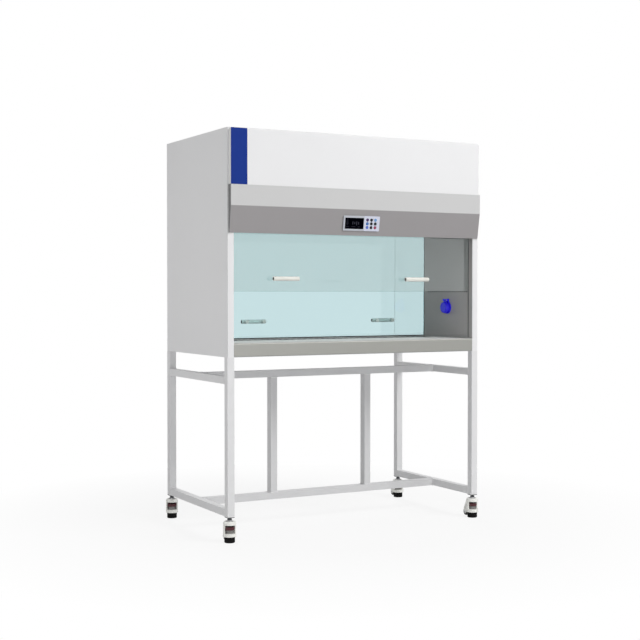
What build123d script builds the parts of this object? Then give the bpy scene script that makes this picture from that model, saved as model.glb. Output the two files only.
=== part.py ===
"""Laminar flow hood with a front and a rear sliding sash, on a welded stand with levelling casters.

Millimetres, +X to the right seen from the front, +Y to the back, +Z up.
The origin is on the floor, under the middle of the overall box.
"""
from build123d import *
from math import cos, hypot, radians, sin
import os

os.makedirs("parts", exist_ok=True)

# ---------------------------------------------------------------- driving dimensions
# cabinet
width = 1300.0                  # over the side panels
depth = 700.0                   # front flange plane to rear plane
top = 1776.0                    # roof above the floor
cabinet_bottom = 795.0
worktop_height = 855.0
flange = 30.0                   # front and rear flanges of the side panels
sheet = 1.5                     # painted steel sheet
bend = 3.0                      # outer radius of its folds
lip = 25.0                      # short stiffening folds

# hood and covers
hood_proud = 24.0               # how far the hood stands in front of the flange plane
hood_foot_proud = 6.0
hood_inset = 6.0                # from each side of the cabinet
hood_bottom = 1328.0
hood_brow = 1444.0              # where the sloped face meets the vertical band
hood_top = 1533.0
cover_proud = 20.0
cover_inset = 8.0
cover_corner = 12.0
cover_edge = 5.0

# liners and sashes
liner_sheet = 1.2
track_depth = 20.0              # how far a sash reaches into its channel's side
track_width = 8.0
front_sash_back = 36.0          # sash plane behind the flange plane
rear_sash_back = 420.0
glass = 5.0
glass_edge_gap = 3.0
front_sash_bottom = 1077.0
front_sash_height = 540.0
rear_sash_height = 546.0
sash_rest_gap = 0.5
row_height = 1077.0             # row of small holes in each liner
row_count = 20
row_pitch = 17.3
row_hole = 9.0
row_start = 48.0                # first hole behind the flange plane
rear_cover_bottom = 1384.0

# handles
front_handle_xs = (-365.0, 313.0)
rear_handle_xs = (-316.0, 393.0)
handle_length = 126.0
handle_diameter = 19.0
handle_stand_off = 25.0         # bar axis in front of the glass
handle_post_spacing = 88.0
handle_post_diameter = 12.0
handle_end_bore = 12.0
handle_bore_depth = 12.0
handle_foot = 2.0               # washer under each post
front_handle_rise = 56.0        # above the lower edge of the sash
rear_handle_rise = 80.0

# air system
ceiling = 1375.0
plenum_top = 1640.0
plenum_gap = 10.0               # between a sash plane and the plenum
filter_height = 69.0
filter_frame = 15.0
pleats = 44
pleat_drop = 4.0
pleat_inset = 6.0
diffuser_sheet = 3.0
impeller_diameter = 250.0
impeller_height = 80.0
impeller_blades = 7
inlet_throat = 150.0
inlet_brim = 30.0               # clear of the throat's edge in the plenum's top
fan_running_gap = 3.0
motor_diameter = 102.0
motor_height = 60.0

# stand
tube = 32.0
tube_wall = 2.0
upper_rail = 680.0              # underside
lower_rail = 111.0
leg_bottom = 110.0
centre_depth = 40.0             # front to back size of the centre frame's tube
stud_xs = (-266.0, 238.0)       # centre frame's uprights

# casters
foot_radius = 23.0
foot_height = 25.0
foot_travel = 10.0
spindle_radius = 6.0
housing_radius = 28.0
housing_base = 26.0
housing_top = 92.0
swivel_gap = 0.3
collar_radius = 17.0            # collar that carries the dial
dial_radius = 21.0
dial_low = 55.0
dial_high = 68.0
dial_notches = 18
wheel_radius = 18.0
wheel_half = 10.0
wheel_lift = 4.0                # wheel above the floor while the foot is down
wheel_offset = 42.5             # wheel axis from the stud axis
axle_radius = 4.0
fork_gap = 1.0
cheek = 3.0
cheek_end = 8.0                 # how far the cheeks reach past the axle

# ---------------------------------------------------------------- derived places
half_width = width / 2
wheel_reach = wheel_offset + wheel_radius
rear_overhang = wheel_reach - tube / 2
front = hood_proud - (depth + hood_proud + rear_overhang) / 2
rear = front + depth
middle = (front + rear) / 2
skin = half_width - sheet                       # inner face of a side panel
opening = half_width - flange                   # half width between the liners
front_sash_y = front + front_sash_back
rear_sash_y = front + rear_sash_back
plenum_front = front_sash_y + plenum_gap
plenum_rear = rear_sash_y - plenum_gap
plenum_middle = (plenum_front + plenum_rear) / 2
plenum_depth = plenum_rear - plenum_front
leg_x = half_width - tube / 2
leg_ys = (front + tube / 2, rear - tube / 2)
sides = (("left", -1), ("right", 1))


def save(part, name):
    """Label a finished piece and write its STEP file."""
    part.label = name
    export_step(part, f"parts/{name}.step")


def folded_face(points, radii, gauge, side):
    """Face of a folded sheet, for the open sketch: points run along one skin, gauge goes to side."""
    with BuildLine() as skin_line:
        FilletPolyline(*points, radius=radii)
        offset(amount=gauge, side=side)
    make_face(skin_line.edges())


def tube_section(across, along):
    """Section of one of the stand's tubes."""
    with BuildSketch(mode=Mode.PRIVATE) as ring:
        Rectangle(across, along)
        Rectangle(across - 2 * tube_wall, along - 2 * tube_wall, mode=Mode.SUBTRACT)
    return ring.sketch


# ---------------------------------------------------------------- cabinet shell
for name, side in sides:
    with BuildPart() as side_panel:
        with BuildSketch(Plane.XY.offset(cabinet_bottom)):
            folded_face(
                [
                    (side * opening, front),
                    (side * half_width, front),
                    (side * half_width, rear),
                    (side * opening, rear),
                ],
                bend, sheet, Side.LEFT if side > 0 else Side.RIGHT,
            )
        extrude(amount=top - cabinet_bottom)
    save(side_panel.part, f"side_panel_{name}")

slot_rows = 2
slots_in_row = 13
slot_length = 110.0
slot_width = 9.0
slot_pitch = 26.0
slot_row_pitch = 130.0
with BuildPart() as roof_panel:
    with BuildSketch(Plane.YZ):
        folded_face(
            [
                (front + sheet, top - lip),
                (front + sheet, top),
                (rear - sheet, top),
                (rear - sheet, top - lip),
            ],
            bend, sheet, Side.RIGHT,
        )
    extrude(amount=skin, both=True)
    with BuildSketch(Plane.XY.offset(top)):
        with Locations((0, plenum_middle)):
            with GridLocations(slot_pitch, slot_row_pitch, slots_in_row, slot_rows):
                SlotOverall(slot_length, slot_width, rotation=90)
    extrude(amount=-2 * sheet, mode=Mode.SUBTRACT)
    with BuildSketch(Plane.XY.offset(top)):
        with Locations((0, middle)):
            with GridLocations(2 * skin, depth - 2 * sheet, 2, 2):
                Rectangle(2 * bend, 2 * bend)
    extrude(amount=-lip, mode=Mode.SUBTRACT)
save(roof_panel.part, "roof_panel")

cover_height = top - 1.0 - hood_top
with BuildPart() as front_cover:
    with BuildSketch(Plane.XZ.offset(-front)):
        with Locations((0, hood_top + cover_height / 2)):
            Rectangle(width - 2 * cover_inset, cover_height)
    extrude(amount=cover_proud)
    top_corners = front_cover.edges().filter_by(Axis.Y).group_by(Axis.Z)[-1]
    fillet(top_corners, cover_corner)
    face_edges = front_cover.faces().sort_by(Axis.Y)[0].edges()
    fillet(face_edges.group_by(Axis.Z)[1:], cover_edge)
    offset(amount=-sheet, openings=front_cover.faces().sort_by(Axis.Y)[-1])
save(front_cover.part, "front_cover")

with BuildPart() as front_hood:
    with BuildSketch(Plane.YZ):
        with BuildLine():
            Polyline(
                (front, hood_top),
                (front - hood_proud, hood_top),
                (front - hood_proud, hood_brow),
                (front - hood_foot_proud, hood_bottom),
                (front, hood_bottom),
                close=True,
            )
        make_face()
    extrude(amount=half_width - hood_inset, both=True)
    brow = front_hood.edges().filter_by(Axis.X).group_by(Axis.Y)[0].sort_by(Axis.Z)[0]
    fillet(brow, 4)
    offset(amount=-sheet, openings=front_hood.faces().sort_by(Axis.Y)[-1])
save(front_hood.part, "front_hood")

rear_fold_front = rear_sash_y + handle_stand_off + handle_diameter
with BuildPart() as rear_cover:
    with BuildSketch(Plane.YZ):
        folded_face(
            [
                (rear_fold_front, rear_cover_bottom + lip),
                (rear_fold_front, rear_cover_bottom),
                (rear, rear_cover_bottom),
                (rear, top - bend),
            ],
            bend, sheet, Side.LEFT,
        )
    extrude(amount=opening - 1, both=True)
save(rear_cover.part, "rear_cover")

# ---------------------------------------------------------------- liners with sash channels
socket_behind_front = 208.0
socket_height = 1000.0
socket_body = 50.0
for name, side in sides:
    face = side * opening
    channel = side * (opening + track_depth)
    fold_end = side * (skin - 2 * sheet)
    with BuildPart() as liner:
        with BuildSketch(Plane.XY.offset(cabinet_bottom + sheet)):
            track = track_width / 2
            folded_face(
                [
                    (fold_end, front + sheet),
                    (face, front + sheet),
                    (face, front_sash_y - track),
                    (channel, front_sash_y - track),
                    (channel, front_sash_y + track),
                    (face, front_sash_y + track),
                    (face, rear_sash_y - track),
                    (channel, rear_sash_y - track),
                    (channel, rear_sash_y + track),
                    (face, rear_sash_y + track),
                    (face, rear - sheet),
                    (fold_end, rear - sheet),
                ],
                2.0, liner_sheet, Side.RIGHT if side > 0 else Side.LEFT,
            )
        extrude(amount=top - lip - cabinet_bottom - 2 * sheet)
        with BuildSketch(Plane.YZ.offset(side * (opening - sheet))):
            row_middle = front + row_start + (row_count - 1) * row_pitch / 2
            with Locations((row_middle, row_height)):
                with GridLocations(row_pitch, 1, row_count, 1):
                    Circle(row_hole / 2)
            if side > 0:
                with Locations((front + socket_behind_front, socket_height)):
                    Circle(socket_body / 2 + 0.5)
        extrude(amount=side * 4 * sheet, mode=Mode.SUBTRACT)
    save(liner.part, f"liner_{name}")

# ---------------------------------------------------------------- base and worktop
nose = 6.0
table_half = opening - 1
bearer = 30.0
bearer_backs = (60.0, 215.0, 560.0)     # bearers behind the flange plane
sill_front = rear_sash_y - 10.0
with BuildPart() as base_pan:
    with BuildSketch(Plane.XY.offset(cabinet_bottom)):
        with Locations((0, middle)):
            RectangleRounded(2 * skin, depth - 2 * sheet, bend)
    extrude(amount=sheet)
    bearer_height = worktop_height - sheet - cabinet_bottom - sheet
    bearer_z = cabinet_bottom + sheet + bearer_height / 2
    with BuildSketch(Plane.YZ):
        with Locations(*[(front + back, bearer_z) for back in bearer_backs]):
            Rectangle(bearer, bearer_height)
            Rectangle(bearer - 2 * tube_wall, bearer_height - 2 * tube_wall, mode=Mode.SUBTRACT)
    extrude(amount=opening - 2 * sheet, both=True)
    with BuildSketch(Plane.YZ):
        folded_face(
            [
                (rear - lip, cabinet_bottom),
                (rear, cabinet_bottom),
                (rear, worktop_height),
                (sill_front, worktop_height),
                (sill_front, worktop_height - lip),
            ],
            (bend, nose, bend), sheet, Side.LEFT,
        )
    extrude(amount=table_half, both=True)
save(base_pan.part, "base_pan")

grille_length = 1150.0
grille_depth = 140.0
grille_behind = 12.0                    # strip of worktop behind the grille
grille_rest = 4.0
worktop_back = sill_front - 0.5
grille_y = worktop_back - grille_behind - grille_depth / 2
apron_bottom = cabinet_bottom + sheet
with BuildPart() as worktop:
    with BuildSketch(Plane.YZ):
        folded_face(
            [
                (front + lip, apron_bottom),
                (front, apron_bottom),
                (front, worktop_height),
                (worktop_back, worktop_height),
                (worktop_back, worktop_height - lip),
            ],
            (bend, nose, bend), sheet, Side.RIGHT,
        )
    extrude(amount=table_half, both=True)
    with BuildSketch(Plane.XY.offset(worktop_height)):
        with Locations((0, grille_y)):
            RectangleRounded(grille_length, grille_depth, nose)
    extrude(amount=-2 * sheet, mode=Mode.SUBTRACT)
save(worktop.part, "worktop")

grille_columns = 36
grille_rows = 3
grille_web = 14.0
with BuildPart() as return_grille:
    with BuildSketch(Plane.XY.offset(worktop_height - 2 * sheet)):
        with Locations((0, grille_y)):
            RectangleRounded(grille_length + 2 * grille_rest, grille_depth + 2 * grille_rest, nose)
    extrude(amount=sheet)
    column = grille_length / grille_columns
    row = grille_depth / grille_rows
    with BuildSketch(Plane.XY.offset(worktop_height - sheet)):
        with Locations((0, grille_y)):
            with GridLocations(column, row, grille_columns, grille_rows):
                SlotOverall(row - grille_web, column - grille_web, rotation=90)
    extrude(amount=-2 * sheet, mode=Mode.SUBTRACT)
save(return_grille.part, "return_grille")

# ---------------------------------------------------------------- air system
pre_length = slots_in_row * slot_pitch + 40.0
pre_depth = slot_rows * slot_row_pitch + 20.0
pre_height = 20.0
pre_frame = 12.0
pre_sink = 5.0
with BuildPart() as pre_filter:
    with BuildSketch(Plane.XY.offset(top - sheet)):
        with Locations((0, plenum_middle)):
            RectangleRounded(pre_length, pre_depth, 4)
    extrude(amount=-pre_height)
    with BuildSketch(Plane.XY.offset(top - sheet)):
        with Locations((0, plenum_middle)):
            Rectangle(pre_length - 2 * pre_frame, pre_depth - 2 * pre_frame)
    extrude(amount=-pre_sink, mode=Mode.SUBTRACT)
save(pre_filter.part, "pre_filter")

with BuildPart() as plenum_box:
    with BuildSketch(Plane.XY.offset(ceiling)):
        with Locations((0, plenum_middle)):
            Rectangle(2 * opening, plenum_depth)
    extrude(amount=plenum_top - ceiling)
    offset(amount=-sheet, openings=plenum_box.faces().sort_by(Axis.Z)[0])
    with BuildSketch(Plane.XY.offset(plenum_top)):
        with Locations((0, plenum_middle)):
            Circle(inlet_throat / 2 + inlet_brim)
    extrude(amount=-2 * sheet, mode=Mode.SUBTRACT)
save(plenum_box.part, "plenum_box")

filter_length = 2 * (opening - sheet)
filter_depth = plenum_depth - 2 * sheet
filter_low = ceiling + diffuser_sheet
cell_columns = 12
cell_rows = 5
cell_pitch = (100.0, 60.0)
cell_web = 16.0
with BuildPart() as diffuser:
    with BuildSketch(Plane.XY.offset(ceiling)):
        with Locations((0, plenum_middle)):
            Rectangle(filter_length, filter_depth)
            with GridLocations(*cell_pitch, cell_columns, cell_rows):
                Rectangle(cell_pitch[0] - cell_web, cell_pitch[1] - cell_web, mode=Mode.SUBTRACT)
    extrude(amount=diffuser_sheet)
save(diffuser.part, "diffuser")

with BuildPart() as hepa_filter:
    with BuildSketch(Plane.XY.offset(filter_low)):
        with Locations((0, plenum_middle)):
            Rectangle(filter_length, filter_depth)
            Rectangle(
                filter_length - 2 * filter_frame, filter_depth - 2 * filter_frame, mode=Mode.SUBTRACT
            )
    extrude(amount=filter_height)
    pack_half = filter_length / 2 - filter_frame
    pleat_pitch = 2 * pack_half / pleats
    ridge = filter_low + filter_height - pleat_inset
    valley = filter_low + pleat_inset + pleat_drop
    crest = []
    for index in range(2 * pleats + 1):
        crest.append((index * pleat_pitch / 2 - pack_half, ridge if index % 2 else valley))
    trough = [(x, z - pleat_drop) for x, z in reversed(crest)]
    with BuildSketch(Plane.XZ.offset(-plenum_middle)):
        with BuildLine():
            Polyline(*crest, *trough, close=True)
        make_face()
    extrude(amount=filter_depth / 2 - filter_frame, both=True)
save(hepa_filter.part, "hepa_filter")

deck = plenum_top - sheet
throat_drop = 14.0                      # shroud below the plenum's top
throat_overlap = 14.0                   # inlet's throat inside the shroud
throat = inlet_throat / 2
flare = 22.0
shroud_high = deck - throat_drop
shroud_throat = throat + sheet + fan_running_gap
shroud_shoulder = 24.0                  # below the shroud's top
shroud_drop = 34.0
shroud_bend = 12.0
back_plate = shroud_high - impeller_height
rim = impeller_diameter / 2
hub = motor_diameter / 2 + 6
hub_taper = 12.0
hub_rise = 30.0
bore = 10.0
blade_lean = 38.0                       # degrees from a blade's foot to its tip
blade_curve = 150.0
blade_thick = 2.0
fan_at = Plane(origin=(0, plenum_middle, 0))
fan_profile = Plane(origin=(0, plenum_middle, 0), x_dir=(1, 0, 0), z_dir=(0, -1, 0))
fan_axis = Axis((0, plenum_middle, 0), (0, 0, 1))
with BuildPart() as fan_inlet:
    with BuildSketch(fan_profile):
        folded_face(
            [
                (throat + flare + inlet_brim, plenum_top),
                (throat, plenum_top),
                (throat, shroud_high - throat_overlap),
            ],
            flare, sheet, Side.RIGHT,
        )
    revolve(axis=fan_axis)
save(fan_inlet.part, "fan_inlet")

with BuildPart() as fan_impeller:
    with BuildSketch(fan_profile):
        with BuildLine():
            Polyline(
                (hub, back_plate),
                (rim, back_plate),
                (rim, back_plate + sheet),
                (hub + sheet, back_plate + sheet),
                (hub - hub_taper, back_plate + hub_rise),
                (bore, back_plate + hub_rise),
                (bore, back_plate + hub_rise - sheet),
                (hub - hub_taper, back_plate + hub_rise - sheet),
                close=True,
            )
        make_face()
        folded_face(
            [
                (shroud_throat, shroud_high - fan_running_gap),
                (shroud_throat, shroud_high - shroud_shoulder),
                (rim, shroud_high - shroud_drop),
            ],
            shroud_bend, sheet, Side.LEFT,
        )
    revolve(axis=fan_axis)
    with BuildSketch(fan_at.offset(back_plate + sheet)):
        with PolarLocations(0, impeller_blades):
            with BuildLine():
                foot = shroud_throat - 6
                tip = (rim * cos(radians(blade_lean)), rim * sin(radians(blade_lean)))
                tip_back = (rim * cos(radians(blade_lean - 1)), rim * sin(radians(blade_lean - 1)))
                RadiusArc((foot, 0), tip, blade_curve)
                Line(tip, tip_back)
                RadiusArc(tip_back, (foot, -blade_thick), -blade_curve)
                Line((foot, -blade_thick), (foot, 0))
            make_face()
    extrude(amount=shroud_high - shroud_drop + 1 - back_plate - sheet)
save(fan_impeller.part, "fan_impeller")

motor_gap = 2.0
motor_top = back_plate - motor_gap
motor_bottom = motor_top - motor_height
shaft_radius = bore - 0.3
shaft_rise = motor_gap + hub_rise
spider_reach = rim + 26.0
spider_width = 24.0
spider_sheet = 3.0
with BuildPart() as fan_motor:
    with BuildSketch(fan_at.offset(motor_bottom)):
        Circle(motor_diameter / 2)
    extrude(amount=motor_height)
    with BuildSketch(fan_at.offset(motor_top)):
        Circle(shaft_radius)
    extrude(amount=shaft_rise)
    with BuildSketch(fan_at.offset(motor_bottom)):
        with PolarLocations(0, 4, 45):
            with Locations((spider_reach / 2, 0)):
                Rectangle(spider_reach, spider_width)
    extrude(amount=spider_sheet)
    with BuildSketch(fan_at.offset(motor_bottom)):
        with PolarLocations(spider_reach, 4, 45):
            Rectangle(spider_sheet, spider_width)
    extrude(amount=deck - motor_bottom)
save(fan_motor.part, "fan_motor")

# ---------------------------------------------------------------- lamps
lamp_length = 900.0
led_height = 36.0
led_depth = 18.0
led_rise = 40.0                         # above the brow of the hood
led_corner = 4.0
with BuildPart() as led_lamp:
    lamp_back = front - hood_proud + sheet
    with BuildSketch(Plane.YZ):
        with Locations((lamp_back + led_depth / 2, hood_brow + led_rise)):
            RectangleRounded(led_depth, led_height, led_corner)
        with Locations((lamp_back + led_corner / 2, hood_brow + led_rise)):
            Rectangle(led_corner, led_height)
    extrude(amount=lamp_length / 2, both=True)
save(led_lamp.part, "led_lamp")

uv_y = plenum_rear - 40.0
uv_tray = (22.0, 8.0)
uv_tube_radius = 7.0
uv_tube_drop = 13.0                     # tube axis below the ceiling
uv_holder = 20.0
with BuildPart() as uv_lamp:
    with BuildSketch(Plane.YZ):
        with Locations((uv_y, ceiling - uv_tray[1] / 2)):
            Rectangle(*uv_tray)
    extrude(amount=lamp_length / 2, both=True)
    with BuildSketch(Plane.YZ):
        with Locations((uv_y, ceiling - uv_tube_drop)):
            Circle(uv_tube_radius)
    extrude(amount=lamp_length / 2 - 2, both=True)
    for end in (-1, 1):
        with BuildSketch(Plane.YZ.offset(end * lamp_length / 2)):
            with Locations((uv_y, ceiling - uv_holder / 2)):
                RectangleRounded(uv_holder, uv_holder, 5)
        extrude(amount=-end * uv_holder)
save(uv_lamp.part, "uv_lamp")

# ---------------------------------------------------------------- control unit
panel_length = 188.0
panel_height = 68.0
panel_depth = 6.0
panel_middle = 1382.5
display_length = 96.0
display_height = 50.0
display_sheet = 1.2
display_x = -38.0
key_columns_x = (29.0, 49.7, 70.4)
key_pitch = 17.0
key_diameter = 14.0
key_gap = 0.4
key_flange = 17.0
key_flange_thick = 1.0
key_pocket = 3.2
key_play = 0.3                  # between a key's flange and the roof of its pocket
key_proud = 1.2
key_travel = 1.0

slope_run = hood_proud - hood_foot_proud
slope_rise = hood_brow - hood_bottom
slope_length = hypot(slope_run, slope_rise)
panel_y = front - hood_foot_proud - slope_run * (panel_middle - hood_bottom) / slope_rise
panel_plane = Plane(
    origin=(0, panel_y, panel_middle),
    x_dir=(1, 0, 0),
    z_dir=(0, -slope_rise / slope_length, -slope_run / slope_length),
)
key_places = []
for row in (1, 0, -1):
    for column_x in key_columns_x:
        key_places.append((column_x, row * key_pitch))

with BuildPart() as control_panel:
    with BuildSketch(panel_plane):
        RectangleRounded(panel_length, panel_height, 4)
    extrude(amount=panel_depth)
    chamfer(control_panel.faces().sort_by(Axis.Y)[0].edges(), 2)
    with BuildSketch(panel_plane.offset(panel_depth)):
        with Locations((display_x, 0)):
            Rectangle(display_length, display_height)
    extrude(amount=-display_sheet, mode=Mode.SUBTRACT)
    with BuildSketch(panel_plane):
        with Locations(*key_places):
            Circle(key_diameter / 2 + key_gap)
    extrude(amount=panel_depth, mode=Mode.SUBTRACT)
    with BuildSketch(panel_plane):
        with Locations(*key_places):
            Circle(key_flange / 2 + key_gap)
    extrude(amount=key_pocket, mode=Mode.SUBTRACT)
save(control_panel.part, "control_panel")

with BuildPart() as display_window:
    with BuildSketch(panel_plane.offset(panel_depth - display_sheet)):
        with Locations((display_x, 0)):
            Rectangle(display_length, display_height)
    extrude(amount=display_sheet)
save(display_window.part, "display_window")

for index, (key_x, key_y) in enumerate(key_places):
    with BuildPart() as key:
        with BuildSketch(panel_plane.offset(key_pocket - key_play)):
            with Locations((key_x, key_y)):
                Circle(key_flange / 2)
        extrude(amount=-key_flange_thick)
        with BuildSketch(panel_plane.offset(key_pocket - key_play)):
            with Locations((key_x, key_y)):
                Circle(key_diameter / 2)
        extrude(amount=panel_depth + key_proud - key_pocket + key_play)
        chamfer(key.faces().sort_by(Axis.Y)[0].edges(), 0.6)
    save(key.part, f"key_{index + 1}")

# ---------------------------------------------------------------- safety socket
socket_flange = 31.0                    # radius
socket_plate = 6.0
socket_collar = 23.0                    # radius
socket_collar_height = 8.0
socket_well = 20.0                      # radius
socket_well_depth = 12.0
contact_hole = 2.5
contact_spacing = 19.0
contact_depth = 18.0
socket_back_depth = 24.0
socket_y = front + socket_behind_front
lid_radius = 29.0
lid_depth = 13.0
hinge_rise = 36.0
knuckle_radius = 5.5
pin_radius = 2.5
pin_gap = 0.05
knuckle = 14.0
knuckle_gap = 0.5
lug = 6.0
socket_plane = Plane(origin=(opening, socket_y, socket_height), x_dir=(0, -1, 0), z_dir=(-1, 0, 0))
collar_high = socket_plate + socket_collar_height
hinge_out = collar_high + 2.0
lid_low = collar_high + swivel_gap
hinge_at = (opening - hinge_out, socket_height + hinge_rise)

with BuildPart() as socket_base:
    tower_width = knuckle + 2 * (knuckle_gap + lug)
    with BuildSketch(socket_plane):
        Circle(socket_flange)
        with Locations((0, hinge_rise / 2)):
            Rectangle(tower_width, hinge_rise + 2 * knuckle_radius)
    extrude(amount=socket_plate)
    chamfer(socket_base.faces().sort_by(Axis.X)[0].edges(), 1.2)
    with BuildSketch(socket_plane.offset(socket_plate)):
        Circle(socket_collar)
    extrude(amount=socket_collar_height)
    with BuildSketch(socket_plane):
        Circle(socket_body / 2)
    extrude(amount=-socket_back_depth)
    with BuildSketch(socket_plane.offset(collar_high)):
        Circle(socket_well)
    extrude(amount=-socket_well_depth, mode=Mode.SUBTRACT)
    with BuildSketch(socket_plane.offset(collar_high - socket_well_depth)):
        with GridLocations(contact_spacing, 1, 2, 1):
            Circle(contact_hole)
    extrude(amount=-contact_depth, mode=Mode.SUBTRACT)
    for end in (-1, 1):
        lug_x = end * (knuckle / 2 + knuckle_gap + lug / 2)
        with BuildSketch(socket_plane.offset(socket_plate)):
            with Locations((lug_x, hinge_rise)):
                Rectangle(lug, 2 * knuckle_radius - 2)
        extrude(amount=hinge_out - socket_plate)
        with BuildSketch(Plane.XZ.offset(-socket_y + lug_x - lug / 2)):
            with Locations(hinge_at):
                Circle(knuckle_radius - 0.5)
        extrude(amount=lug)
    with BuildSketch(Plane.XZ.offset(-socket_y)):
        with Locations(hinge_at):
            Circle(pin_radius)
    extrude(amount=tower_width, both=True, mode=Mode.SUBTRACT)
save(socket_base.part, "socket_base")

with BuildPart() as socket_lid:
    with BuildSketch(socket_plane.offset(lid_low)):
        Circle(lid_radius)
    extrude(amount=lid_depth, taper=16)
    fillet(socket_lid.faces().sort_by(Axis.X)[0].edges(), 4)
    with BuildSketch(socket_plane.offset(lid_low)):
        with Locations((0, hinge_rise - (hinge_rise - lid_radius + 8) / 2)):
            Rectangle(knuckle, hinge_rise - lid_radius + 8)
    extrude(amount=5)
    with BuildSketch(Plane.XZ.offset(-socket_y)):
        with Locations(hinge_at):
            Circle(knuckle_radius)
    extrude(amount=knuckle / 2, both=True)
    with BuildSketch(Plane.XZ.offset(-socket_y)):
        with Locations(hinge_at):
            Circle(pin_radius + pin_gap)
    extrude(amount=knuckle, both=True, mode=Mode.SUBTRACT)
save(socket_lid.part, "socket_lid")

with BuildPart() as socket_pin:
    with BuildSketch(Plane.XZ.offset(-socket_y)):
        with Locations(hinge_at):
            Circle(pin_radius)
    extrude(amount=tower_width / 2, both=True)
save(socket_pin.part, "socket_pin")

# ---------------------------------------------------------------- sashes and handles
sash_half = opening + track_depth - glass_edge_gap
rear_sash_bottom = worktop_height + sash_rest_gap


def make_sash(name, plane_y, bottom, height):
    """Glass sash standing in its channels."""
    with BuildPart() as pane:
        with BuildSketch(Plane.XY.offset(bottom)):
            with Locations((0, plane_y)):
                Rectangle(2 * sash_half, glass)
        extrude(amount=height)
        chamfer(pane.edges().filter_by(Axis.X), 0.8)
    save(pane.part, name)


def make_handle(name, x, glass_y, z, out):
    """Round bar on two posts, bored at both ends; out is the direction away from the glass."""
    bar_y = glass_y + out * handle_stand_off
    with BuildPart() as handle:
        with BuildSketch(Plane.YZ.offset(x)):
            with Locations((bar_y, z)):
                Circle(handle_diameter / 2)
        extrude(amount=handle_length / 2, both=True)
        bar_ends = handle.faces().filter_by(Axis.X)
        fillet(bar_ends.edges(), 2.5)
        for end in (-1, 1):
            with BuildSketch(Plane.YZ.offset(x + end * handle_length / 2)):
                with Locations((bar_y, z)):
                    Circle(handle_end_bore / 2)
            extrude(amount=-end * handle_bore_depth, mode=Mode.SUBTRACT)
        with BuildSketch(Plane.XZ.offset(-glass_y)):
            with Locations((x - handle_post_spacing / 2, z), (x + handle_post_spacing / 2, z)):
                Circle(handle_post_diameter / 2)
        extrude(amount=-out * handle_stand_off)
        with BuildSketch(Plane.XZ.offset(-glass_y)):
            with Locations((x - handle_post_spacing / 2, z), (x + handle_post_spacing / 2, z)):
                Circle(handle_post_diameter / 2 + 3)
        extrude(amount=-out * handle_foot)
    save(handle.part, name)


make_sash("front_sash", front_sash_y, front_sash_bottom, front_sash_height)
make_sash("rear_sash", rear_sash_y, rear_sash_bottom, rear_sash_height)
front_handle_z = front_sash_bottom + front_handle_rise
rear_handle_z = rear_sash_bottom + rear_handle_rise
for name, front_x, rear_x in zip(("left", "right"), front_handle_xs, rear_handle_xs):
    make_handle(f"front_handle_{name}", front_x, front_sash_y - glass / 2, front_handle_z, -1)
    make_handle(f"rear_handle_{name}", rear_x, rear_sash_y + glass / 2, rear_handle_z, 1)

# ---------------------------------------------------------------- stand
rail_length = depth - 2 * tube
for name, side in sides:
    with BuildPart() as stand_side:
        for leg_y in leg_ys:
            with BuildSketch(Plane.XY.offset(leg_bottom)):
                with Locations((side * leg_x, leg_y)):
                    add(tube_section(tube, tube))
            extrude(amount=cabinet_bottom - leg_bottom)
        with BuildSketch(Plane.XZ.offset(-(front + tube))):
            with Locations((side * leg_x, upper_rail + tube / 2), (side * leg_x, lower_rail + tube / 2)):
                add(tube_section(tube, tube))
        extrude(amount=-rail_length)
    save(stand_side.part, f"stand_side_{name}")

with BuildPart() as stand_centre:
    inner_x = half_width - tube
    with BuildSketch(Plane.YZ.offset(-inner_x)):
        with Locations((middle, upper_rail + tube / 2), (middle, lower_rail + tube / 2)):
            add(tube_section(centre_depth, tube))
    extrude(amount=2 * inner_x)
    with BuildSketch(Plane.XY.offset(lower_rail + tube)):
        with Locations(*[(stud_x, middle) for stud_x in stud_xs]):
            add(tube_section(tube, centre_depth))
    extrude(amount=upper_rail - lower_rail - tube)
save(stand_centre.part, "stand_centre")

# ---------------------------------------------------------------- casters
caster_places = (
    ("front_left", -leg_x, leg_ys[0], 84),
    ("front_right", leg_x, leg_ys[0], 90),
    ("rear_left", -leg_x, leg_ys[1], 66),
    ("rear_right", leg_x, leg_ys[1], 88),
)
stud_radius = 6.0
stud_low = 84.0
washer_radius = 13.0
washer_low = housing_top + 1.0
washer_high = washer_low + 2.5
nut_across = 19.0
nut_high = washer_high + 7.0
plug_flange = 3.0
plug_height = 16.0

with BuildPart() as caster_studs:
    for name, x, y, heading in caster_places:
        post = Plane(origin=(x, y, 0))
        with BuildSketch(post.offset(stud_low)):
            Circle(stud_radius)
        extrude(amount=leg_bottom - stud_low)
        with BuildSketch(post.offset(leg_bottom - plug_flange)):
            Rectangle(tube, tube)
        extrude(amount=plug_flange)
        with BuildSketch(post.offset(leg_bottom)):
            Rectangle(tube - 2 * tube_wall, tube - 2 * tube_wall)
        extrude(amount=plug_height)
        with BuildSketch(post.offset(washer_low)):
            Circle(washer_radius)
        extrude(amount=washer_high - washer_low)
        with BuildSketch(post.offset(washer_high)):
            RegularPolygon(nut_across / 2, 6, major_radius=False)
        extrude(amount=nut_high - washer_high)
save(caster_studs.part, "caster_studs")


def make_foot(name, across):
    """Rubber foot with its lifting spindle."""
    groove = foot_height / 2
    spindle_top = dial_high + 4
    with BuildPart() as foot:
        with BuildSketch(across):
            with BuildLine():
                Polyline(
                    (0, 0),
                    (foot_radius - 2, 0),
                    (foot_radius, 2),
                    (foot_radius, groove - 1),
                    (foot_radius - 0.8, groove),
                    (foot_radius, groove + 1),
                    (foot_radius, foot_height - 1.5),
                    (foot_radius - 1.5, foot_height),
                    (spindle_radius, foot_height),
                    (spindle_radius, spindle_top),
                    (0, spindle_top),
                    close=True,
                )
            make_face()
        revolve(axis=Axis(across.origin, (0, 0, 1)))
    save(foot.part, f"foot_{name}")


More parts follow.
